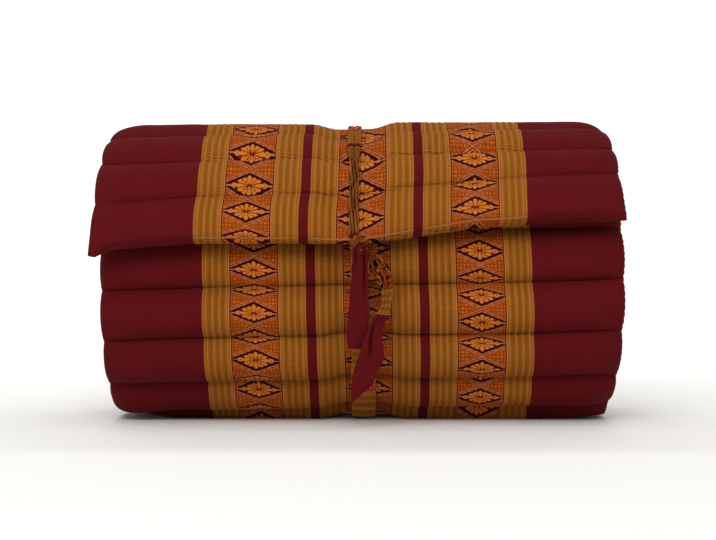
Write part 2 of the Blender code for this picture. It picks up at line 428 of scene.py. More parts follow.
# Lights, as name, place, aim, size and watts
LIGHTS = (
    ("top softbox", (0.0, -0.8, 2.1), (0.0, 0.0, 0.15), (2.2, 1.4), 15.0),
    ("front softbox", (-0.4, -2.4, 1.7), (0.0, 0.0, 0.15), (2.0, 1.2), 46.0),
    ("back softbox", (0.0, 1.6, 2.6), (0.0, 3.2, 0.6), (3.0, 1.5), 75.0),
)
ROOM_LIGHT = 0.28


def table(rows, at):
    """Value of a two-column table at a point, in straight lines between rows."""
    if at <= rows[0][0]:
        return rows[0][1]
    for (x0, y0), (x1, y1) in zip(rows, rows[1:]):
        if at <= x1:
            return y0 + (y1 - y0) * (at - x0) / (x1 - x0)
    return rows[-1][1]


def ellipse(distance, length):
    """Height from 0 to 1 of a quarter ellipse that starts at an edge."""
    if distance >= length:
        return 1.0
    return math.sqrt(max(0.0, 1.0 - (1.0 - distance / length) ** 2))


def smooth(value):
    """Smooth step from 0 to 1."""
    value = min(1.0, max(0.0, value))
    return value * value * (3.0 - 2.0 * value)


def ripple(x, y, z=0.0):
    """Smooth unevenness between -1 and 1, the same at each run. A factor on a
    length says how fine it is; one on a count only tells its tubes apart."""
    return noise.noise(Vector((x, y, z)))


def outer_radius(angle):
    """Radius of the tubes' crowns."""
    return FREE_END_RADIUS - TURN_PITCH * (angle - FREE_END) / 360.0


def arc_at(angle):
    """Length along the middle of the mattress from the free end."""
    turn = math.radians(angle - FREE_END)
    middle = FREE_END_RADIUS - THICKNESS / 2
    return middle * turn - TURN_PITCH / (4 * math.pi) * turn * turn


def angle_at(arc):
    """Inverse of arc_at."""
    middle = FREE_END_RADIUS - THICKNESS / 2
    drop = TURN_PITCH / (2 * math.pi)
    turn = (middle - math.sqrt(middle * middle - 2 * drop * arc)) / drop
    return FREE_END + math.degrees(turn)


def seam_arcs():
    """Places of the seams along the mattress, with those of both ends."""
    arcs = [arc_at(angle) for angle in UPPER_SEAMS]
    start = arcs[-1]
    stop = arc_at(LOWER_SEAMS[0])
    for number in range(1, BACK_TUBES):
        arcs.append(start + (stop - start) * number / BACK_TUBES)
    arcs += [arc_at(angle) for angle in LOWER_SEAMS]
    start = arcs[-1]
    stop = arc_at(CORE_END)
    count = round((stop - start) / TUBE)
    for number in range(1, count + 1):
        arcs.append(start + (stop - start) * number / count)
    return arcs


SEAMS = seam_arcs()
LENGTH = SEAMS[-1]
STRAP_MIDDLES = [(row[0], row[1]) for row in STRAP_COURSE]


def dent(x, angle):
    """How far the strap draws the cloth in."""
    away = abs(x - table(STRAP_MIDDLES, angle))
    return DENT * (1.0 - smooth((away - DENT_FLAT) / (DENT_REACH - DENT_FLAT)))


def settle(height, floor):
    """Height of a point of the roll's skin once the roll has settled."""
    if height < floor + PRESSED:
        return floor
    if height < floor + 3 * PRESSED:
        return floor + (height - floor - PRESSED) * 1.5
    return height


def end_lift(across):
    """How far the lowest tubes stand off the floor towards their ends."""
    most = LIFT_LEFT if across < 0.0 else LIFT_RIGHT
    from_side = WIDTH / 2 - abs(across)
    return most * (1.0 - smooth(from_side / LIFT_REACH))


def round_roll(x, angle, radius):
    """Point at a radius and an angle round the axis of the roll."""
    turn = math.radians(angle)
    y = AXIS_Y - radius * math.cos(turn)
    z = AXIS_Z + radius * math.sin(turn)
    return Vector((x, y, z))


def outwards(angle):
    """Direction away from the axis of the roll."""
    turn = math.radians(angle)
    return Vector((0.0, -math.cos(turn), math.sin(turn)))


def knot_point(x, out, up):
    """Point in the knot's own frame: across, outwards and upwards."""
    turn = math.radians(KNOT_ANGLE)
    middle = round_roll(x, KNOT_ANGLE, KNOT_RADIUS + out)
    return middle + Vector((0.0, math.sin(turn), math.cos(turn))) * up


def skin(across, arc, side):
    """Point of the case: side 0 is its outer face and side 1 its inner face."""
    tube = min(max(bisect.bisect_right(SEAMS, arc) - 1, 0), len(SEAMS) - 2)
    shown = side == 0 and arc < SHOWN_ARC
    spot = (arc - SEAMS[tube]) / (SEAMS[tube + 1] - SEAMS[tube])
    seam = tube if spot < 0.5 else tube + 1
    near = 1.0 - min(spot, 1.0 - spot) * 2.0
    middle = angle_at(arc)
    half = WIDTH / 2
    from_side = half - abs(across)
    share = across / WIDTH
    from_free_end = arc
    from_core = LENGTH - arc
    side_fill = ellipse(from_side, END_TAPER)

    # An S over the width that leaves both ends of the seam where they are
    bend = table(SEAM_BEND, middle) * (1.8 * share ** 3 - 0.45 * share)
    angle = middle + table(SEAM_RISE, middle) * (share + bend)
    fade = 1.0 - smooth((middle - FREE_END) / FREE_END_FADE)
    angle += table(FREE_END_SHIFT, across) * fade
    angle += table(END_TURN, middle) * (1.0 - side_fill)
    if shown:
        angle += SEAM_WAVER * near * ripple(across * 11.0, seam * 5.3)

    crown = max(0.0, 1.0 - (2.0 * spot - 1.0) ** 2) ** TUBE_ROUNDNESS
    if from_free_end < PLAIN_END or from_core < PLAIN_END:
        crown = 1.0
    depth = table(SEAM_DEPTHS, middle) * (1.0 - crown)
    groove = INNER_GROOVE * (1.0 - crown)
    drift = SIDE_DRIFT * min(1.0, (middle - FREE_END) / DRIFT_TURN) - SIDE_DRIFT / 2
    if shown:
        depth += SEAM_PINCH * near * near * smooth(from_free_end / PINCH_REACH)
        depth += surface_play(across, arc, tube, seam, spot, near, middle, drift)

    full = THICKNESS - THINNER_INSIDE * smooth((middle - THINNER_FROM) / THINNER_OVER)
    edge_line = full * (EDGE_AT_NOSE + EDGE_RISE * min(1.0, from_free_end / NOSE_RISE))
    if side == 0:
        fill = side_fill * ellipse(from_free_end, NOSE_TAPER) * ellipse(from_core, CORE_TAPER)
        flat = edge_line - EDGE_SEAM / 2
        down = flat + (depth - flat) * fill
        if middle < OUTER_TURN_TO:
            down += dent(across + drift, middle) * fill
    else:
        fill = side_fill * ellipse(from_free_end, NOSE_TAPER_INSIDE)
        fill *= ellipse(from_core, CORE_TAPER)
        flat = edge_line + EDGE_SEAM / 2
        down = flat + (full - groove - flat) * fill

    notch = SEAM_NOTCH * (1.0 - crown) * (1.0 - smooth(from_side / NOTCH_REACH))
    x = across - math.copysign(notch, across) + drift
    scale = 1.0 + FATTER_RIGHT * share
    point = round_roll(x, angle, (outer_radius(angle) - down) * scale)
    if side == 0:
        point.z = settle(point.z, dent(point.x, middle) + end_lift(across))
    return point


def surface_play(across, arc, tube, seam, spot, near, middle, drift):
    """Unevenness of the stuffed cloth: lumps, ribs, puckers at seams and strap."""
    lumps = LUMP * ripple(across * 14.0, tube * 3.1, spot * 1.5)
    lumps += FINE_LUMP * ripple(across * 55.0, arc * 40.0, 4.0)
    pucker = PUCKER * near ** 3 * ripple(across * 150.0, seam * 7.7, spot * 2.0)
    from_middle = (across - PATTERN_X) * 1000.0
    band = abs((from_middle + REPEAT / 2) % REPEAT - REPEAT / 2)
    gold_middle = (FLOWER_HALF + REPEAT / 2 - STRIPE_HALF) / 2
    if abs(band - gold_middle) < GOLD_HALF and abs(from_middle) < PATTERN_HALF:
        turn = (band - FLOWER_HALF - RIB_START) * 2.0 * math.pi / RIB
        pucker -= (RIB_HEIGHT + RIB_AT_SEAM * near ** 2) * math.cos(turn)
    from_side = WIDTH / 2 - abs(across)
    end_fold = END_FOLD * (1.0 - smooth(from_side / END_FOLD_REACH))
    lumps += end_fold * ripple(spot * 4.0, tube * 2.3, from_side * 30.0)
    lumps += CREASE_DEPTH * math.exp(-(((arc - END_CREASE) / CREASE_WIDTH) ** 2))
    away = abs(across + drift - table(STRAP_MIDDLES, middle))
    pull = math.exp(-max(0.0, away - PULL_START) / PULL_REACH)
    side = 7.0 if across + drift > 0.0 else 1.0
    pulled = STRAP_PULL * pull * ripple(arc * 75.0 + away * 18.0, side, away * 12.0)
    return lumps + pucker + abs(pulled)


SHOWN_ARC = arc_at(SHOWN_TO)


def cloth_columns():
    """Places of the blank's columns across the width, denser at the edges."""
    half = WIDTH / 2
    inner = half - EDGE_COLUMNS[-1]
    start = PATTERN_X - PATTERN_HALF / 1000.0
    stop = PATTERN_X + PATTERN_HALF / 1000.0
    places = [-half + step for step in EDGE_COLUMNS]
    places += [-inner * (1 - k / 3) + start * k / 3 for k in (1, 2)]
    edges = []
    for number in (-1, 0, 1):
        middle = PATTERN_X + number * REPEAT / 1000.0
        flower = FLOWER_HALF / 1000.0
        edges += [middle - flower + flower * 2 * k / 5 for k in range(6)]
        for way in (-1, 1):
            gold = (REPEAT / 2 - STRIPE_HALF - FLOWER_HALF) / 1000.0
            edges += [middle + way * (flower + gold * k / 4) for k in range(1, 5)]
    places += sorted(edges)
    places.append((stop + inner) / 2)
    places += [half - step for step in reversed(EDGE_COLUMNS)]
    return places


def cloth_rows():
    """Places of the blank's rows along the length."""
    rows = []
    last = len(SEAMS) - 2
    for tube, (start, stop) in enumerate(zip(SEAMS, SEAMS[1:])):
        if tube == 0:
            places = FIRST_TUBE_ROWS
        elif tube == last:
            places = LAST_TUBE_ROWS
        else:
            places = TUBE_ROWS
        rows += [start + (stop - start) * place for place in places]
    return rows


def cloth_place(across, arc, side, plain):
    """Place on the woven cloth of a point of the case; plain is a place across
    in the maroon margin, for the face that turns inwards."""
    middle = angle_at(arc)
    if side > 0.5 and arc > TURNED_UNDER:
        return plain, arc
    u = (across - PATTERN_X - table(PATTERN_WANDER, middle)) * table(PATTERN_DRAWN, middle)
    if side > 0.5:
        return u, UNDER_SHIFT - arc
    return u, table(LOZENGES_ALONG, arc * 1000.0) * LOZENGE / 1000.0


def finished(name, bm, materials, smooth_angle=50.0):
    """Object from a bmesh, shaded smooth, at the origin."""
    mesh = bpy.data.meshes.new(name)
    bm.to_mesh(mesh)
    bm.free()
    mesh.shade_smooth()
    mesh.set_sharp_from_angle(angle=math.radians(smooth_angle))
    for material in materials:
        mesh.materials.append(material)
    piece = bpy.data.objects.new(name, mesh)
    bpy.context.scene.collection.objects.link(piece)
    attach(piece, "root")
    return piece


def make_case(material):
    """The quilted case, bent round from a flat blank of cloth."""
    columns = cloth_columns()
    rows = cloth_rows()
    bm = bmesh.new()
    bmesh.ops.create_grid(bm, x_segments=len(columns) - 1, y_segments=len(rows) - 1, size=0.5)
    outer = set(bm.verts)
    bmesh.ops.extrude_face_region(bm, geom=bm.faces[:])
    for vert in bm.verts:
        column = round((vert.co.x + 0.5) * (len(columns) - 1))
        row = round((vert.co.y + 0.5) * (len(rows) - 1))
        vert.co = (columns[column], rows[row], 0.0 if vert in outer else 1.0)
    fine = []
    for edge in bm.edges:
        ends = [vert.co for vert in edge.verts]
        if all(end.z == 0.0 and end.y < SHOWN_ARC for end in ends):
            fine.append(edge)
    bmesh.ops.subdivide_edges(bm, edges=fine, cuts=3, use_grid_fill=True)

    cloth = bm.loops.layers.uv.new("cloth")
    for face in bm.faces:
        plain = math.copysign(PLAIN_MARGIN, face.calc_center_median().x)
        for loop in face.loops:
            loop[cloth].uv = cloth_place(*loop.vert.co, plain)
    for vert in bm.verts:
        across, arc, side = vert.co
        vert.co = skin(across, arc, 1 if side > 0.5 else 0)
    bmesh.ops.recalc_face_normals(bm, faces=bm.faces[:])
    return finished("quilted_case", bm, [material], 60.0)


def lay_strip(bm, columns, rows, place, cloth_at):
    """Add a strip of cloth with two faces, its points and cloth places given."""
    cloth = bm.loops.layers.uv.get("cloth") or bm.loops.layers.uv.new("cloth")
    made = bmesh.ops.create_grid(bm, x_segments=columns - 1, y_segments=rows - 1, size=0.5)
    under = set(made["verts"])
    faces = [face for face in bm.faces if under.issuperset(face.verts)]
    made = bmesh.ops.extrude_face_region(bm, geom=faces)["geom"]
    over = {item for item in made if isinstance(item, bmesh.types.BMVert)}
    strip_verts = under | over
    for vert in strip_verts:
        vert.co.z = 0.0 if vert in under else 1.0
    for face in bm.faces:
        if not strip_verts.issuperset(face.verts):
            continue
        for loop in face.loops:
            loop[cloth].uv = cloth_at(loop.vert.co.x + 0.5, loop.vert.co.y + 0.5)
    for vert in strip_verts:
        vert.co = place(vert.co.x + 0.5, vert.co.y + 0.5, vert.co.z)


def strip(name, columns, rows, place, cloth_at, material):
    """Piece made of one strip of cloth."""
    bm = bmesh.new()
    lay_strip(bm, columns, rows, place, cloth_at)
    bmesh.ops.recalc_face_normals(bm, faces=bm.faces[:])
    return finished(name, bm, [material])


def strap_row(angle):
    """Middle x, width and thickness of the strap at an angle."""
    values = []
    for column in (1, 2, 3):
        values.append(table([(row[0], row[column]) for row in STRAP_COURSE], angle))
    return values


def make_band(material):
    """The strap round the roll, drawn into two twisted cords above the knot."""
    first = STRAP_COURSE[0][0]
    last = STRAP_COURSE[-1][0]
    leave = STRAP_LEAVES
    start = round_roll(0.0, leave, outer_radius(leave) - DENT + STRAP_GAP)
    end = knot_point(0.0, BAND_LAST_OUT, -KNOT_FLAT - KNOT_CLEAR)

    def groove_at(angle):
        twisting = smooth((angle - TWIST_FROM) / 6.0) * (1.0 - smooth((angle - TWIST_TO) / 10.0))
        swing = math.sin(math.radians((angle - TWIST_LEVEL) * CORD_TURN))
        return 0.5 + CORD_SWING * twisting * swing

    def place(share, along, side):
        angle = first + (last - first) * along
        middle, width, thick = strap_row(angle)
        across = share * 2.0 - 1.0
        gathered = smooth((GATHER_WIDTH - width) / GATHER_SPAN)
        groove = groove_at(angle)
        spot = share / groove if share < groove else (share - groove) / (1.0 - groove)
        cord = math.sqrt(max(0.0, 1.0 - (2.0 * spot - 1.0) ** 2))
        flat = FLAT_RIM + (1.0 - FLAT_RIM) * math.sqrt(max(0.0, 1.0 - 0.98 * across * across))
        pleats = PLEAT * math.cos(share * 2.0 * PLEATS * math.pi + angle * 0.12) * cord
        body = thick * (flat + (CORD_RIM + cord + pleats - flat) * gathered)
        body *= 1.0 - THINNED * smooth((angle - THINNED_FROM) / 15.0) * gathered
        body += 0.0002 * ripple(angle * 0.25, across * 2.0)
        x = middle + across * width / 2 * (1.0 + 0.10 * gathered * ripple(angle * 0.12, 3.0))
        lift = side * body
        if along == 0.0:
            return knot_point(x, BAND_FIRST_OUT + lift, KNOT_FLAT + KNOT_CLEAR)
        if along == 1.0:
            return knot_point(x, BAND_LAST_OUT + lift, -KNOT_FLAT - KNOT_CLEAR)
        if angle > leave:
            point = start.lerp(end, (angle - leave) / (last - leave))
            point += outwards(leave) * lift
            point.x = x
            return point
        radius = outer_radius(angle) - DENT
        if angle < FALL_TO_KNOT:
            fall = (FALL_TO_KNOT - angle) / (FALL_TO_KNOT - first)
            radius += (KNOT_RADIUS + BAND_FIRST_OUT - STRAP_GAP - radius) * fall
        point = round_roll(x, angle, radius)
        point.z = settle(point.z, DENT)
        return point + outwards(angle) * (STRAP_GAP + lift)

    def cloth_at(share, along):
        angle = first + (last - first) * along
        if angle < CORDS_END:
            # Painted shade: the groove between the cords takes the dark ground beside the pale
            # line
            dark = GROOVE_SHADE * math.exp(-((share - groove_at(angle)) / 0.05) ** 2)
            pleat = PLEAT_LINE * math.cos(share * 6.0 * math.pi + angle * 0.5)
            return CORD_LINE + dark + pleat, share * STRAP_WIDTH
        return table(STRAP_CLOTH, angle), (share - 0.5) * STRAP_WIDTH

    return strip("strap_round_roll", *BAND_GRID, place, cloth_at, material)


def row_through(rows, low, share):
    """Values on the smooth curves through the rows, a share past the low row."""
    last = len(rows) - 1
    near = [rows[min(max(low + k, 0), last)] for k in (-1, 0, 1, 2)]
    values = []
    for a, b, c, d in zip(*near):
        cubic = 3 * (b - c) + d - a
        square = 2 * a - 5 * b + 4 * c - d
        values.append(b + 0.5 * share * (c - a + share * (square + share * cubic)))
    return values


def make_knot(material):
    """The knot: a small core, the turn of the strap that crosses it, and a nub."""
    bm = bmesh.new()
    cloth = bm.loops.layers.uv.new("cloth")
    for size, middle, dye in KNOT_LUMPS:
        made = bmesh.ops.create_uvsphere(bm, u_segments=48, v_segments=30, radius=0.5)
        lump = set(made["verts"])
        for face in bm.faces:
            if lump.issuperset(face.verts):
                for loop in face.loops:
                    x, out, up = loop.vert.co
                    loop[cloth].uv = (dye + 0.010 * (up + 0.6 * x), 0.02 * (x - 0.6 * up))
        for vert in lump:
            x, out, up = vert.co
            crease = KNOT_CREASE * math.cos(20.0 * (up - 0.75 * x)) * (1.0 - abs(out))
            swell = 1.0 + crease + KNOT_SWELL * ripple(x * 6.0, up * 9.0, out * 4.0)
            vert.co = knot_point(
                KNOT_X + (middle[0] + x * size[0] * swell) / 1000.0,
                (middle[1] - out * size[1] * swell) / 1000.0,
                (middle[2] + up * size[2]) / 1000.0,
            )

    def place(share, along, side):
        spot = along * (len(KNOT_TURN) - 1)
        low = min(int(spot), len(KNOT_TURN) - 2)
        here = row_through(KNOT_TURN, low, spot - low)
        ahead = row_through(KNOT_TURN, low, spot - low + 0.01)
        run = Vector((ahead[0] - here[0], 0.0, ahead[2] - here[2])).normalized()
        across = (share * 2.0 - 1.0) * here[3] / 2
        pleat = abs(math.sin(4.0 * math.pi * share)) ** 0.7
        lift = side * (0.4 + 2.0 * pleat)
        x = here[0] + run.z * across
        up = here[2] - run.x * across
        return knot_point(KNOT_X + x / 1000.0, (here[1] + lift) / 1000.0, up / 1000.0)

    def cloth_at(share, along):
        # Painted shade: the cloth place swings onto the dark ground beside the pale line in four
        # dark lines, standing for the shade of the turn's pleats
        return PALE_LINE + 0.0010 * math.cos(share * 8.0 * math.pi), share * 0.006

    lay_strip(bm, *TURN_GRID, place, cloth_at)
    bmesh.ops.recalc_face_normals(bm, faces=bm.faces[:])
    return finished("strap_knot", bm, [material])


def make_tail(name, rows, fold, cloth_table, start, material):
    """A hanging end of the strap, through its rows of edges."""
    def place(share, along, side):
        spot = along * (len(rows) - 1)
        low = min(int(spot), len(rows) - 2)
        left_x, left_z, right_x, right_z, y = row_through(rows, low, spot - low)
        x = (left_x + (right_x - left_x) * share) / 1000.0
        z = (left_z + (right_z - left_z) * share) / 1000.0
        rim = 0.6 + 0.4 * ellipse(min(share, 1.0 - share), 0.08)
        lift = fold(share, along) + (side - 0.5) * STRAP_THICKNESS * rim
        if along == 0.0:
            return knot_point(x, start[0] + lift * 0.5, start[1])
        return Vector((x, y / 1000.0 + AXIS_Y - lift, z))

    def cloth_at(share, along):
        crushed = CRUSHED * max(0.0, 1.0 - along / 0.4)
        u = table(cloth_table, along) + crushed * ripple(share * 3.0, along * 15.0, 2.0)
        v = (share - 0.5) * STRAP_WIDTH + crushed * ripple(share * 4.0, along * 13.0, 7.0)
        return u, v + 0.5 * crushed

    steps = (len(rows) - 1) * TAIL_STEPS + 1
    return strip(name, TAIL_COLUMNS, steps, place, cloth_at, material)


def short_folds(share, along):
    """Two deep lengthwise folds below the knot that run out half way down."""
    left = math.exp(-((share - 0.20) / 0.07) ** 2) * (1.0 - smooth((along - 0.08) / 0.30))
    right = math.exp(-((share - 0.76) / 0.06) ** 2) * (1.0 - smooth((along - 0.25) / 0.40))
    belly = BELLY * math.sin(math.pi * share) * (1.0 - 0.6 * along)
    wave = 0.0005 * math.cos(share * 5.0 + along * 5.0)
    uneven = 0.0003 * ripple(share * 3.0, along * 9.0, 2.0)
    return belly + wave - LEFT_FOLD * left - RIGHT_FOLD * right + uneven


def long_folds(share, along):
    """Crumpled below the knot, one deep fold half way, flat at the end."""
    ease = 1.0 - smooth((along - 0.26) / 0.10)
    creased = 1.0 - 2.0 * abs(ripple(share * 3.4 + along * 7.0, along * 22.0, 5.0))
    creased += 0.7 - 1.4 * abs(ripple(share * 6.0, along * 38.0 - share * 5.0, 9.0))
    crumple = CRUMPLE * ease * (creased - 1.0)
    pleats = (0.0009 + 0.0016 * ease) * (1.0 - smooth((along - 0.52) / 0.15))
    wave = pleats * math.cos(share * 7.0 * math.pi + 3.0 * along)
    place = 0.33 + 0.12 * smooth((along - 0.60) / 0.20)
    slit = SLIT * math.exp(-((along - 0.69) / 0.085) ** 4 - ((share - place) / 0.07) ** 2)
    return wave - slit + crumple + 0.0004 * ripple(share * 2.5, along * 12.0, 3.0)


def make_edge_stitches(material):
    """Overcast stitches that close the right-hand edge of the case."""
    bm = bmesh.new()
    count = int((LENGTH - 2 * STITCH_START) / STITCH_PITCH)
    for number in range(count):
        arc = STITCH_START + number * STITCH_PITCH
        outer = skin(WIDTH / 2, arc, 0)
        inner = skin(WIDTH / 2, arc + STITCH_PITCH * STITCH_LEAN, 1)
        middle = (outer + inner) / 2
        along = (inner - outer).normalized()
        ball = bmesh.ops.create_icosphere(bm, subdivisions=1, radius=0.5)["verts"]
        turn = along.to_track_quat("Z", "X").to_matrix().to_4x4()
        long = (inner - outer).length + STITCH_OVERLAP
        size = Matrix.Diagonal((STITCH_THICKNESS, STITCH_THICKNESS, long, 1.0))
        shift = Matrix.Translation(middle + Vector((STITCH_PROUD, 0.0, 0.0)))
        bmesh.ops.transform(bm, matrix=shift @ turn @ size, verts=ball)
    return finished("edge_stitches", bm, [material])


def make_free_edge(material):
    """The sewn ridge along the free end, where both faces of the case meet."""
    span = WIDTH - RIDGE_SHORTER
    out = outwards(FREE_END - RIDGE_TURN)

    def place(share, along, side):
        across = (along - 0.5) * span
        base = skin(across, RIDGE_ARC, 0)
        down = (skin(across, 0.0, 0) - skin(across, 2.0 * RIDGE_ARC, 0)).normalized()
        round_off = math.sqrt(max(0.02, 1.0 - (2.0 * share - 1.0) ** 2))
        gather = 1.0 + 0.12 * math.sin(across * 2400.0) + 0.25 * ripple(across * 90.0, 1.0)
        height = (RIDGE_HEIGHT * round_off * gather) if side > 0.5 else -RIDGE_ROOT
        return base + down * (share - 0.5) * RIDGE_WIDTH + out * height

    def cloth_at(share, along):
        across = (along - 0.5) * span
        u = (across - PATTERN_X - PATTERN_WANDER[0][1]) * PATTERN_DRAWN[0][1]
        band = abs((u * 1000.0 + REPEAT / 2) % REPEAT - REPEAT / 2)
        plain = abs(u) * 1000.0 > PATTERN_HALF or band > REPEAT / 2 - STRIPE_HALF
        return (u if plain else PALE_LINE), 0.0

    return strip("free_end_seam", *RIDGE_GRID, place, cloth_at, material)


def linear(code):
    """Linear colour of an sRGB hex code."""
    values = []
    for start in (1, 3, 5):
        value = int(code[start:start + 2], 16) / 255.0
        values.append(value / 12.92 if value <= 0.04045 else ((value + 0.055) / 1.055) ** 2.4)
    return (*values, 1.0)


def add(tree, kind, inputs=None, stops=None, **settings):
    """Add a node with its settings and links, and give back its outputs."""
    node = tree.nodes.new(kind)
    for name, value in settings.items():
        setattr(node, name, value)
    if stops:
        node.color_ramp.interpolation = "CONSTANT"
        for place, _ in stops[2:]:
            node.color_ramp.elements.new(place)
        for element, (place, code) in zip(node.color_ramp.elements, stops):
            element.position = place
            element.color = linear(code)
    for key, value in (inputs or {}).items():
        if isinstance(value, bpy.types.NodeSocket):
            tree.links.new(value, node.inputs[key])
        else:
            node.inputs[key].default_value = value
    return node.outputs


def summed(tree, operation, *values):
    """One sum of numbers and wires."""
    return add(tree, "ShaderNodeMath", dict(enumerate(values)), operation=operation)[0]


def mixed(tree, share, under, over):
    """Colour between two, a share of the way to the second."""
    return add(tree, "ShaderNodeMix", {0: share, 6: under, 7: over}, data_type="RGBA")[2]


def new_cloth(name, roughness, specular):
    """Material whose shader has a cloth's roughness and gloss."""
    material = bpy.data.materials.new(name)
    material.use_nodes = True
    shader = material.node_tree.nodes["Principled BSDF"]
    shader.inputs["Roughness"].default_value = roughness
    shader.inputs["Specular IOR Level"].default_value = specular
    return material, material.node_tree, shader


# Sums of the woven pattern, as (name, operation, values), in millimetres.
# x and y are the place on the cloth: across it from the middle, and along it.
BAND_SUMS = (
    ("centred", "WRAP", "x", REPEAT / 2, -REPEAT / 2),
    ("band", "ABSOLUTE", "centred"),
    ("band_share", "DIVIDE", "band", REPEAT / 2),
    ("from_middle", "ABSOLUTE", "x"),
    ("margin", "GREATER_THAN", "from_middle", PATTERN_HALF),
    ("in_bands", "SUBTRACT", 1.0, "margin"),
    ("slanted", "MULTIPLY_ADD", "x", WEFT_SLANT, "y"),
)

# Lozenges: p across and q along from the middle of the nearest one, stepped
# to the threads; far is 1 at the rim of the dark outline, and the ramp of its
# colours ends at FAR_MOST
FAR_ACROSS = 26.0
FAR_MOST = 2.2
INSIDE = 0.76
DOT_STEP = 1.8
LOZENGE_SUMS = (
    ("p", "SNAP", "band", THREAD),
    ("stepped", "SNAP", "slanted", THREAD),
    ("wrapped", "WRAP", "stepped", LOZENGE / 2, -LOZENGE / 2),
    ("q", "ABSOLUTE", "wrapped"),
    ("far_p", "DIVIDE", "p", FAR_ACROSS),
    ("far", "MULTIPLY_ADD", "q", 1.0 / LOZENGE_HALF, "far_p"),
    ("far_share", "DIVIDE", "far", FAR_MOST),
    ("inside", "LESS_THAN", "far", INSIDE),
    ("in_flower_band", "LESS_THAN", "band", FLOWER_HALF - 0.8),
    ("tip", "GREATER_THAN", "p", 17.0),
    ("level", "LESS_THAN", "q", 0.7),
    ("tongue", "MULTIPLY", "tip", "level"),
    ("seed_p", "SUBTRACT", "p", 14.2),
    ("seed_p_size", "ABSOLUTE", "seed_p"),
    ("seed_far", "ADD", "seed_p_size", "q"),
    ("seed", "LESS_THAN", "seed_far", 0.8),
    ("dot_p", "WRAP", "p", DOT_STEP, -DOT_STEP),
    ("dot_p_size", "ABSOLUTE", "dot_p"),
    ("dot_q", "PINGPONG", "q", DOT_STEP),
    ("dot_far", "ADD", "dot_p_size", "dot_q"),
    ("near_dot", "LESS_THAN", "dot_far", 0.9),
    ("in_triangle", "GREATER_THAN", "far", 1.46),
    ("dot", "MULTIPLY", "near_dot", "in_triangle"),
)

# Ribs of the gold bands and the short floats across them. The ribs are painted lighter at their
# crests and darker in their troughs (painted light and shade), with a painted highlight, a pale
# sheen, along each crest; the picks and floats are the weave's own darker threads.
PICK = 1.8
GOLD_SUMS = (
    ("rib_place", "SUBTRACT", "band", FLOWER_HALF + RIB_START),
    ("rib_turn", "MULTIPLY", "rib_place", 2.0 * math.pi / RIB),
    ("rib", "COSINE", "rib_turn"),
    ("gold_from", "GREATER_THAN", "band", FLOWER_HALF + 1.4),
    ("gold_to", "LESS_THAN", "band", REPEAT / 2 - STRIPE_HALF - 1.4),
    ("in_gold", "MULTIPLY", "gold_from", "gold_to"),
    ("pick_turn", "MULTIPLY", "slanted", 2.0 * math.pi / PICK),
    ("pick", "COSINE", "pick_turn"),
    ("pick_up", "GREATER_THAN", "pick", 0.0),
    ("rib_low", "LESS_THAN", "rib", -0.30),
    ("rib_line", "GREATER_THAN", "rib", 0.93),
    ("floats", "MULTIPLY", "pick_up", "rib_low"),
    # Painted highlight along each rib's crest
    ("rib_crest_highlight", "MULTIPLY", "rib_line", "in_gold"),
    ("rib_highlight_share", "MULTIPLY", "rib_crest_highlight", 0.45),
    # Painted light and shade: ribs lighter at their crests, darker in their troughs
    ("painted_rib_light", "MULTIPLY_ADD", "rib", 0.07, 1.10),
    ("painted_rib_crest_light", "MULTIPLY_ADD", "rib_line", 0.12, "painted_rib_light"),
    ("shade_pick", "MULTIPLY_ADD", "pick_up", -0.22, "painted_rib_crest_light"),
    ("shade_floats", "MULTIPLY_ADD", "floats", -0.28, "shade_pick"),
    ("shade_gold", "SUBTRACT", "shade_floats", 1.0),
    ("shade_here", "MULTIPLY", "shade_gold", "in_gold"),
    ("shade_bands", "MULTIPLY", "shade_here", "in_bands"),
    ("shade_woven", "ADD", "shade_bands", 1.0),
)

# Petals of the flower, as (p, q, half length, half width, degrees), and the
# slopes of the dark lines between them
PETALS = (
    (8.0, 0.0, 7.4, 1.7, 0.0),
    (6.4, 2.7, 5.4, 1.8, 23.0),
    (3.6, 4.2, 4.4, 1.9, 50.0),
    (0.0, 5.0, 1.8, 3.8, 0.0),
    (14.2, 0.0, 3.2, 2.1, 0.0),
)
RAYS = (12.0, 36.0, 69.0)
RAY_HALF = 0.40
RIM_MOST = 3.0
PETAL_POWER = 1.4
FAR_OFF = 9.0

# Relief of the cloth: threads in millimetres, heights as shares of the bump's
THREADS_DRAWN = 0.9
WEAVE_HEIGHT = 0.10
FLOWER_HEIGHT = 0.25


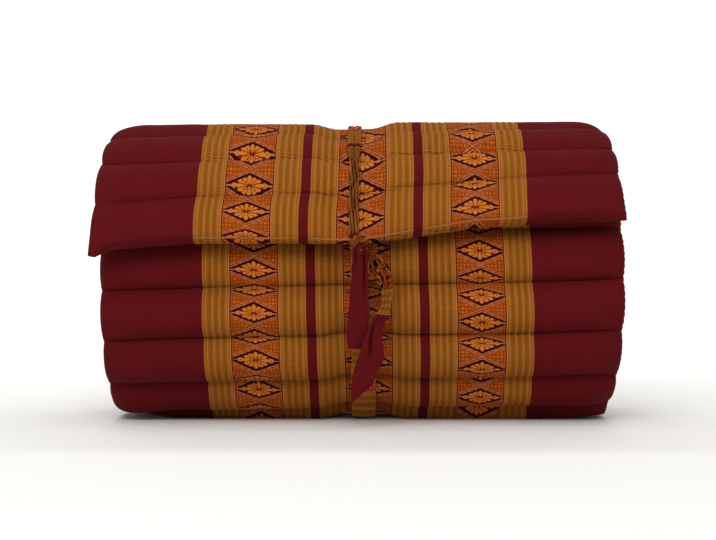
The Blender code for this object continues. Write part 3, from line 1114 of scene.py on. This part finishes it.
def woven_brocade():
    """Cotton woven in bands: maroon margins and stripes read plain and matt,
    the gold bands read ribbed, with painted light and shade over their ribs and
    a painted highlight along each rib's crest, and flowers stand in dark-rimmed
    lozenges."""
    material, tree, shader = new_cloth("cotton brocade, woven in bands", 0.9, 0.06)
    place = add(tree, "ShaderNodeUVMap", uv_map="cloth")[0]
    mm = add(tree, "ShaderNodeMapping", {"Vector": place, "Scale": (1000.0, 1000.0, 1.0)})[0]
    split = add(tree, "ShaderNodeSeparateXYZ", {0: mm})
    wires = {"x": split[0], "y": split[1]}
    steps = list(BAND_SUMS + LOZENGE_SUMS + GOLD_SUMS)

    # A petal's value is 1 at its rim; the flower takes the smallest
    flower = FAR_OFF
    for number, (p, q, long, wide, turn) in enumerate(PETALS):
        cosine = math.cos(math.radians(turn))
        sine = math.sin(math.radians(turn))
        steps += (
            (f"dp{number}", "SUBTRACT", "p", p),
            (f"dq{number}", "SUBTRACT", "q", q),
            (f"ps{number}", "MULTIPLY", f"dp{number}", sine / wide),
            (f"pc{number}", "MULTIPLY", f"dp{number}", cosine / long),
            (f"a{number}", "MULTIPLY_ADD", f"dq{number}", sine / long, f"pc{number}"),
            (f"b{number}", "MULTIPLY_ADD", f"dq{number}", -cosine / wide, f"ps{number}"),
            (f"aa{number}", "ABSOLUTE", f"a{number}"),
            (f"bb{number}", "ABSOLUTE", f"b{number}"),
            (f"ap{number}", "POWER", f"aa{number}", PETAL_POWER),
            (f"bp{number}", "POWER", f"bb{number}", PETAL_POWER),
            (f"rim{number}", "ADD", f"ap{number}", f"bp{number}"),
            (f"flower{number}", "MINIMUM", f"rim{number}", flower),
        )
        flower = f"flower{number}"
    steps.append(("flower_share", "DIVIDE", flower, RIM_MOST))

    # Dark lines that run from the middle of the flower between its petals
    nearest = FAR_OFF
    for number, turn in enumerate(RAYS):
        cosine = math.cos(math.radians(turn))
        sine = math.sin(math.radians(turn))
        steps += (
            (f"low{number}", "MULTIPLY", "p", sine),
            (f"off{number}", "MULTIPLY_ADD", "q", -cosine, f"low{number}"),
            (f"away{number}", "ABSOLUTE", f"off{number}"),
            (f"near{number}", "MINIMUM", f"away{number}", nearest),
        )
        nearest = f"near{number}"
    steps.append(("line", "LESS_THAN", nearest, RAY_HALF))
    for name, operation, *values in steps:
        wires[name] = summed(tree, operation, *(wires.get(value, value) for value in values))

    # Colours of the bands, from the middle of the flower band outwards
    half = REPEAT / 2
    bands = add(tree, "ShaderNodeValToRGB", {0: wires["band_share"]}, stops=(
        (0.0, "#4c0d0a"),
        ((FLOWER_HALF - 0.8) / half, "#4c0d0a"),
        ((FLOWER_HALF + 0.1) / half, "#a0642e"),
        ((FLOWER_HALF + 1.3) / half, "#8e5415"),
        ((half - STRIPE_HALF - 1.3) / half, "#985c24"),
        ((half - STRIPE_HALF) / half, "#540f10"),
    ))[0]
    lozenge = add(tree, "ShaderNodeValToRGB", {0: wires["far_share"]}, stops=(
        (0.0, "#541008"),
        (INSIDE / FAR_MOST, "#300506"),
        (1.01 / FAR_MOST, "#b0683a"),
        (1.09 / FAR_MOST, "#7c2a08"),
        (1.20 / FAR_MOST, "#b0683a"),
        (1.28 / FAR_MOST, "#7c2a08"),
        (1.35 / FAR_MOST, "#964f18"),
        (1.41 / FAR_MOST, "#8c3808"),
    ))[0]
    petals = add(tree, "ShaderNodeValToRGB", {0: wires["flower_share"]}, stops=(
        (0.0, "#be6a0e"),
        (0.13, "#b86c28"),
        (0.22, "#b46e42"),
        (0.34, "#541008"),
    ))[0]
    petals = mixed(tree, wires["line"], petals, linear("#6a1808"))
    # Painted highlight: a pale tan sheen mixed in along the crests of the gold ribs
    bands = mixed(tree, wires["rib_highlight_share"], bands, linear("#a06a44"))
    colour = lozenge
    for mask, over in (
        ("inside", petals),
        ("tongue", linear("#a05c34")),
        ("seed", linear("#5c1608")),
        ("dot", linear("#b06c28")),
    ):
        colour = mixed(tree, wires[mask], colour, over)
    colour = mixed(tree, wires["in_flower_band"], bands, colour)
    colour = mixed(tree, wires["margin"], colour, linear("#570f13"))

    # Uneven dye: weft streaks and slubs some 1 mm wide and clouds some 30 mm wide
    streaks = add(tree, "ShaderNodeMapping", {"Vector": mm, "Scale": (0.06, 0.9, 1.0)})[0]
    threads = add(tree, "ShaderNodeTexNoise", {"Vector": streaks, "Scale": 1.0, "Detail": 2.0})[0]
    clouds = add(tree, "ShaderNodeTexNoise", {"Vector": mm, "Scale": 0.035, "Detail": 3.0})[0]
    slubs = add(tree, "ShaderNodeTexNoise", {"Vector": mm, "Scale": 0.75, "Detail": 2.0})[0]
    # Brightness of the weave, with the painted light and shade of the gold ribs
    shade = wires["shade_woven"]
    for noise_out, amount in ((threads, 0.26), (clouds, 0.20), (slubs, 0.22)):
        centred = summed(tree, "SUBTRACT", noise_out, 0.5)
        shade = summed(tree, "MULTIPLY_ADD", centred, amount, shade)
    dyed = add(tree, "ShaderNodeVectorMath", {0: colour, "Scale": shade}, operation="SCALE")[0]
    tree.links.new(dyed, shader.inputs["Base Color"])

    # Relief: threads drawn 0.9 mm apart, three times too coarse, so that they
    # show, the ribs of the gold bands and the raised insides of the lozenges
    thread_turn = 2.0 * math.pi / THREADS_DRAWN
    warp = summed(tree, "COSINE", summed(tree, "MULTIPLY", wires["x"], thread_turn))
    weft = summed(tree, "COSINE", summed(tree, "MULTIPLY", wires["slanted"], thread_turn))
    weave = summed(tree, "MULTIPLY", warp, weft)
    weave = summed(tree, "MULTIPLY_ADD", weave, WEAVE_HEIGHT, wires["shade_woven"])
    raised = summed(tree, "MULTIPLY", wires["inside"], wires["in_flower_band"])
    relief = summed(tree, "MULTIPLY_ADD", raised, FLOWER_HEIGHT, weave)
    bump = add(tree, "ShaderNodeBump", {"Height": relief, "Distance": 0.0008, "Strength": 0.7})[0]
    tree.links.new(bump, shader.inputs["Normal"])
    return material


def stitch_thread():
    """Cotton thread, twisted and mercerised: a soft gloss along each stitch."""
    material, tree, shader = new_cloth("mercerised cotton thread, twisted", 0.6, 0.3)
    coords = add(tree, "ShaderNodeTexCoord")["Object"]
    ply = add(tree, "ShaderNodeTexNoise", {"Vector": coords, "Scale": 900.0, "Detail": 2.0})[0]
    shades = mixed(tree, ply, linear("#4a0e14"), linear("#84283a"))
    tree.links.new(shades, shader.inputs["Base Color"])
    return material


def make_stage():
    """Pale floor that curves up to walls all round, open at the top."""
    bm = bmesh.new()
    bmesh.ops.create_grid(bm, x_segments=1, y_segments=1, size=STAGE_HALF)
    walls = bmesh.ops.extrude_edge_only(bm, edges=bm.edges[:])["geom"]
    top = [item for item in walls if isinstance(item, bmesh.types.BMVert)]
    bmesh.ops.translate(bm, vec=(0.0, 0.0, WALL_HEIGHT), verts=top)
    corners = [edge for edge in bm.edges if any(vert.co.z < 1.0 for vert in edge.verts)]
    bmesh.ops.bevel(bm, geom=corners, offset=WALL_BEND, segments=16, profile=0.5,
                    affect="EDGES", material=-1)
    bmesh.ops.recalc_face_normals(bm, faces=bm.faces[:])
    bmesh.ops.reverse_faces(bm, faces=bm.faces[:])
    mesh = bpy.data.meshes.new("floor")
    bm.to_mesh(mesh)
    bm.free()
    mesh.shade_smooth()
    floor = bpy.data.objects.new("floor", mesh)
    bpy.context.scene.collection.objects.link(floor)
    material = bpy.data.materials.new("matt white backdrop paper")
    material.use_nodes = True
    shader = material.node_tree.nodes["Principled BSDF"]
    shader.inputs["Base Color"].default_value = linear("#f4f3f1")
    shader.inputs["Roughness"].default_value = 0.9
    mesh.materials.append(material)


def make_light(name, place, aim, size, power):
    """Soft rectangular light aimed at a point."""
    data = bpy.data.lights.new(name, "AREA")
    data.shape = "RECTANGLE"
    data.size, data.size_y = size
    data.energy = power
    light = bpy.data.objects.new(name, data)
    light.location = place
    light.rotation_euler = (Vector(aim) - Vector(place)).to_track_quat("-Z", "Y").to_euler()
    bpy.context.scene.collection.objects.link(light)


def make_camera():
    """Level camera in front of the roll, at half its height."""
    data = bpy.data.cameras.new("camera")
    data.lens = LENS
    camera = bpy.data.objects.new("camera", data)
    camera.location = (CAMERA_X, AXIS_Y - CAMERA_AWAY, CAMERA_Z)
    camera.rotation_euler = (math.radians(90.0), 0.0, 0.0)
    bpy.context.scene.collection.objects.link(camera)
    bpy.context.scene.camera = camera


make_camera()
make_stage()
for light in LIGHTS:
    make_light(*light)
world = bpy.data.worlds.new("studio")
world.use_nodes = True
room = world.node_tree.nodes["Background"]
room.inputs["Color"].default_value = linear("#ffffff")
room.inputs["Strength"].default_value = ROOM_LIGHT
bpy.context.scene.world = world
bpy.context.scene.view_settings.view_transform = "Standard"

BROCADE = woven_brocade()
STITCH_THREAD = stitch_thread()

case = make_case(BROCADE)
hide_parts("mattress")

stitches = make_edge_stitches(STITCH_THREAD)

ridge = make_free_edge(BROCADE)

band = make_band(BROCADE)
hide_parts("tie_band")

knot = make_knot(BROCADE)
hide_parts("tie_knot")

short_tail = make_tail("strap_short_end", SHORT_TAIL, short_folds, SHORT_TAIL_CLOTH,
                       SHORT_TAIL_START, BROCADE)
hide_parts("short_tail")

long_tail = make_tail("strap_long_end", LONG_TAIL, long_folds, LONG_TAIL_CLOTH,
                      LONG_TAIL_START, BROCADE)
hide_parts("long_tail")
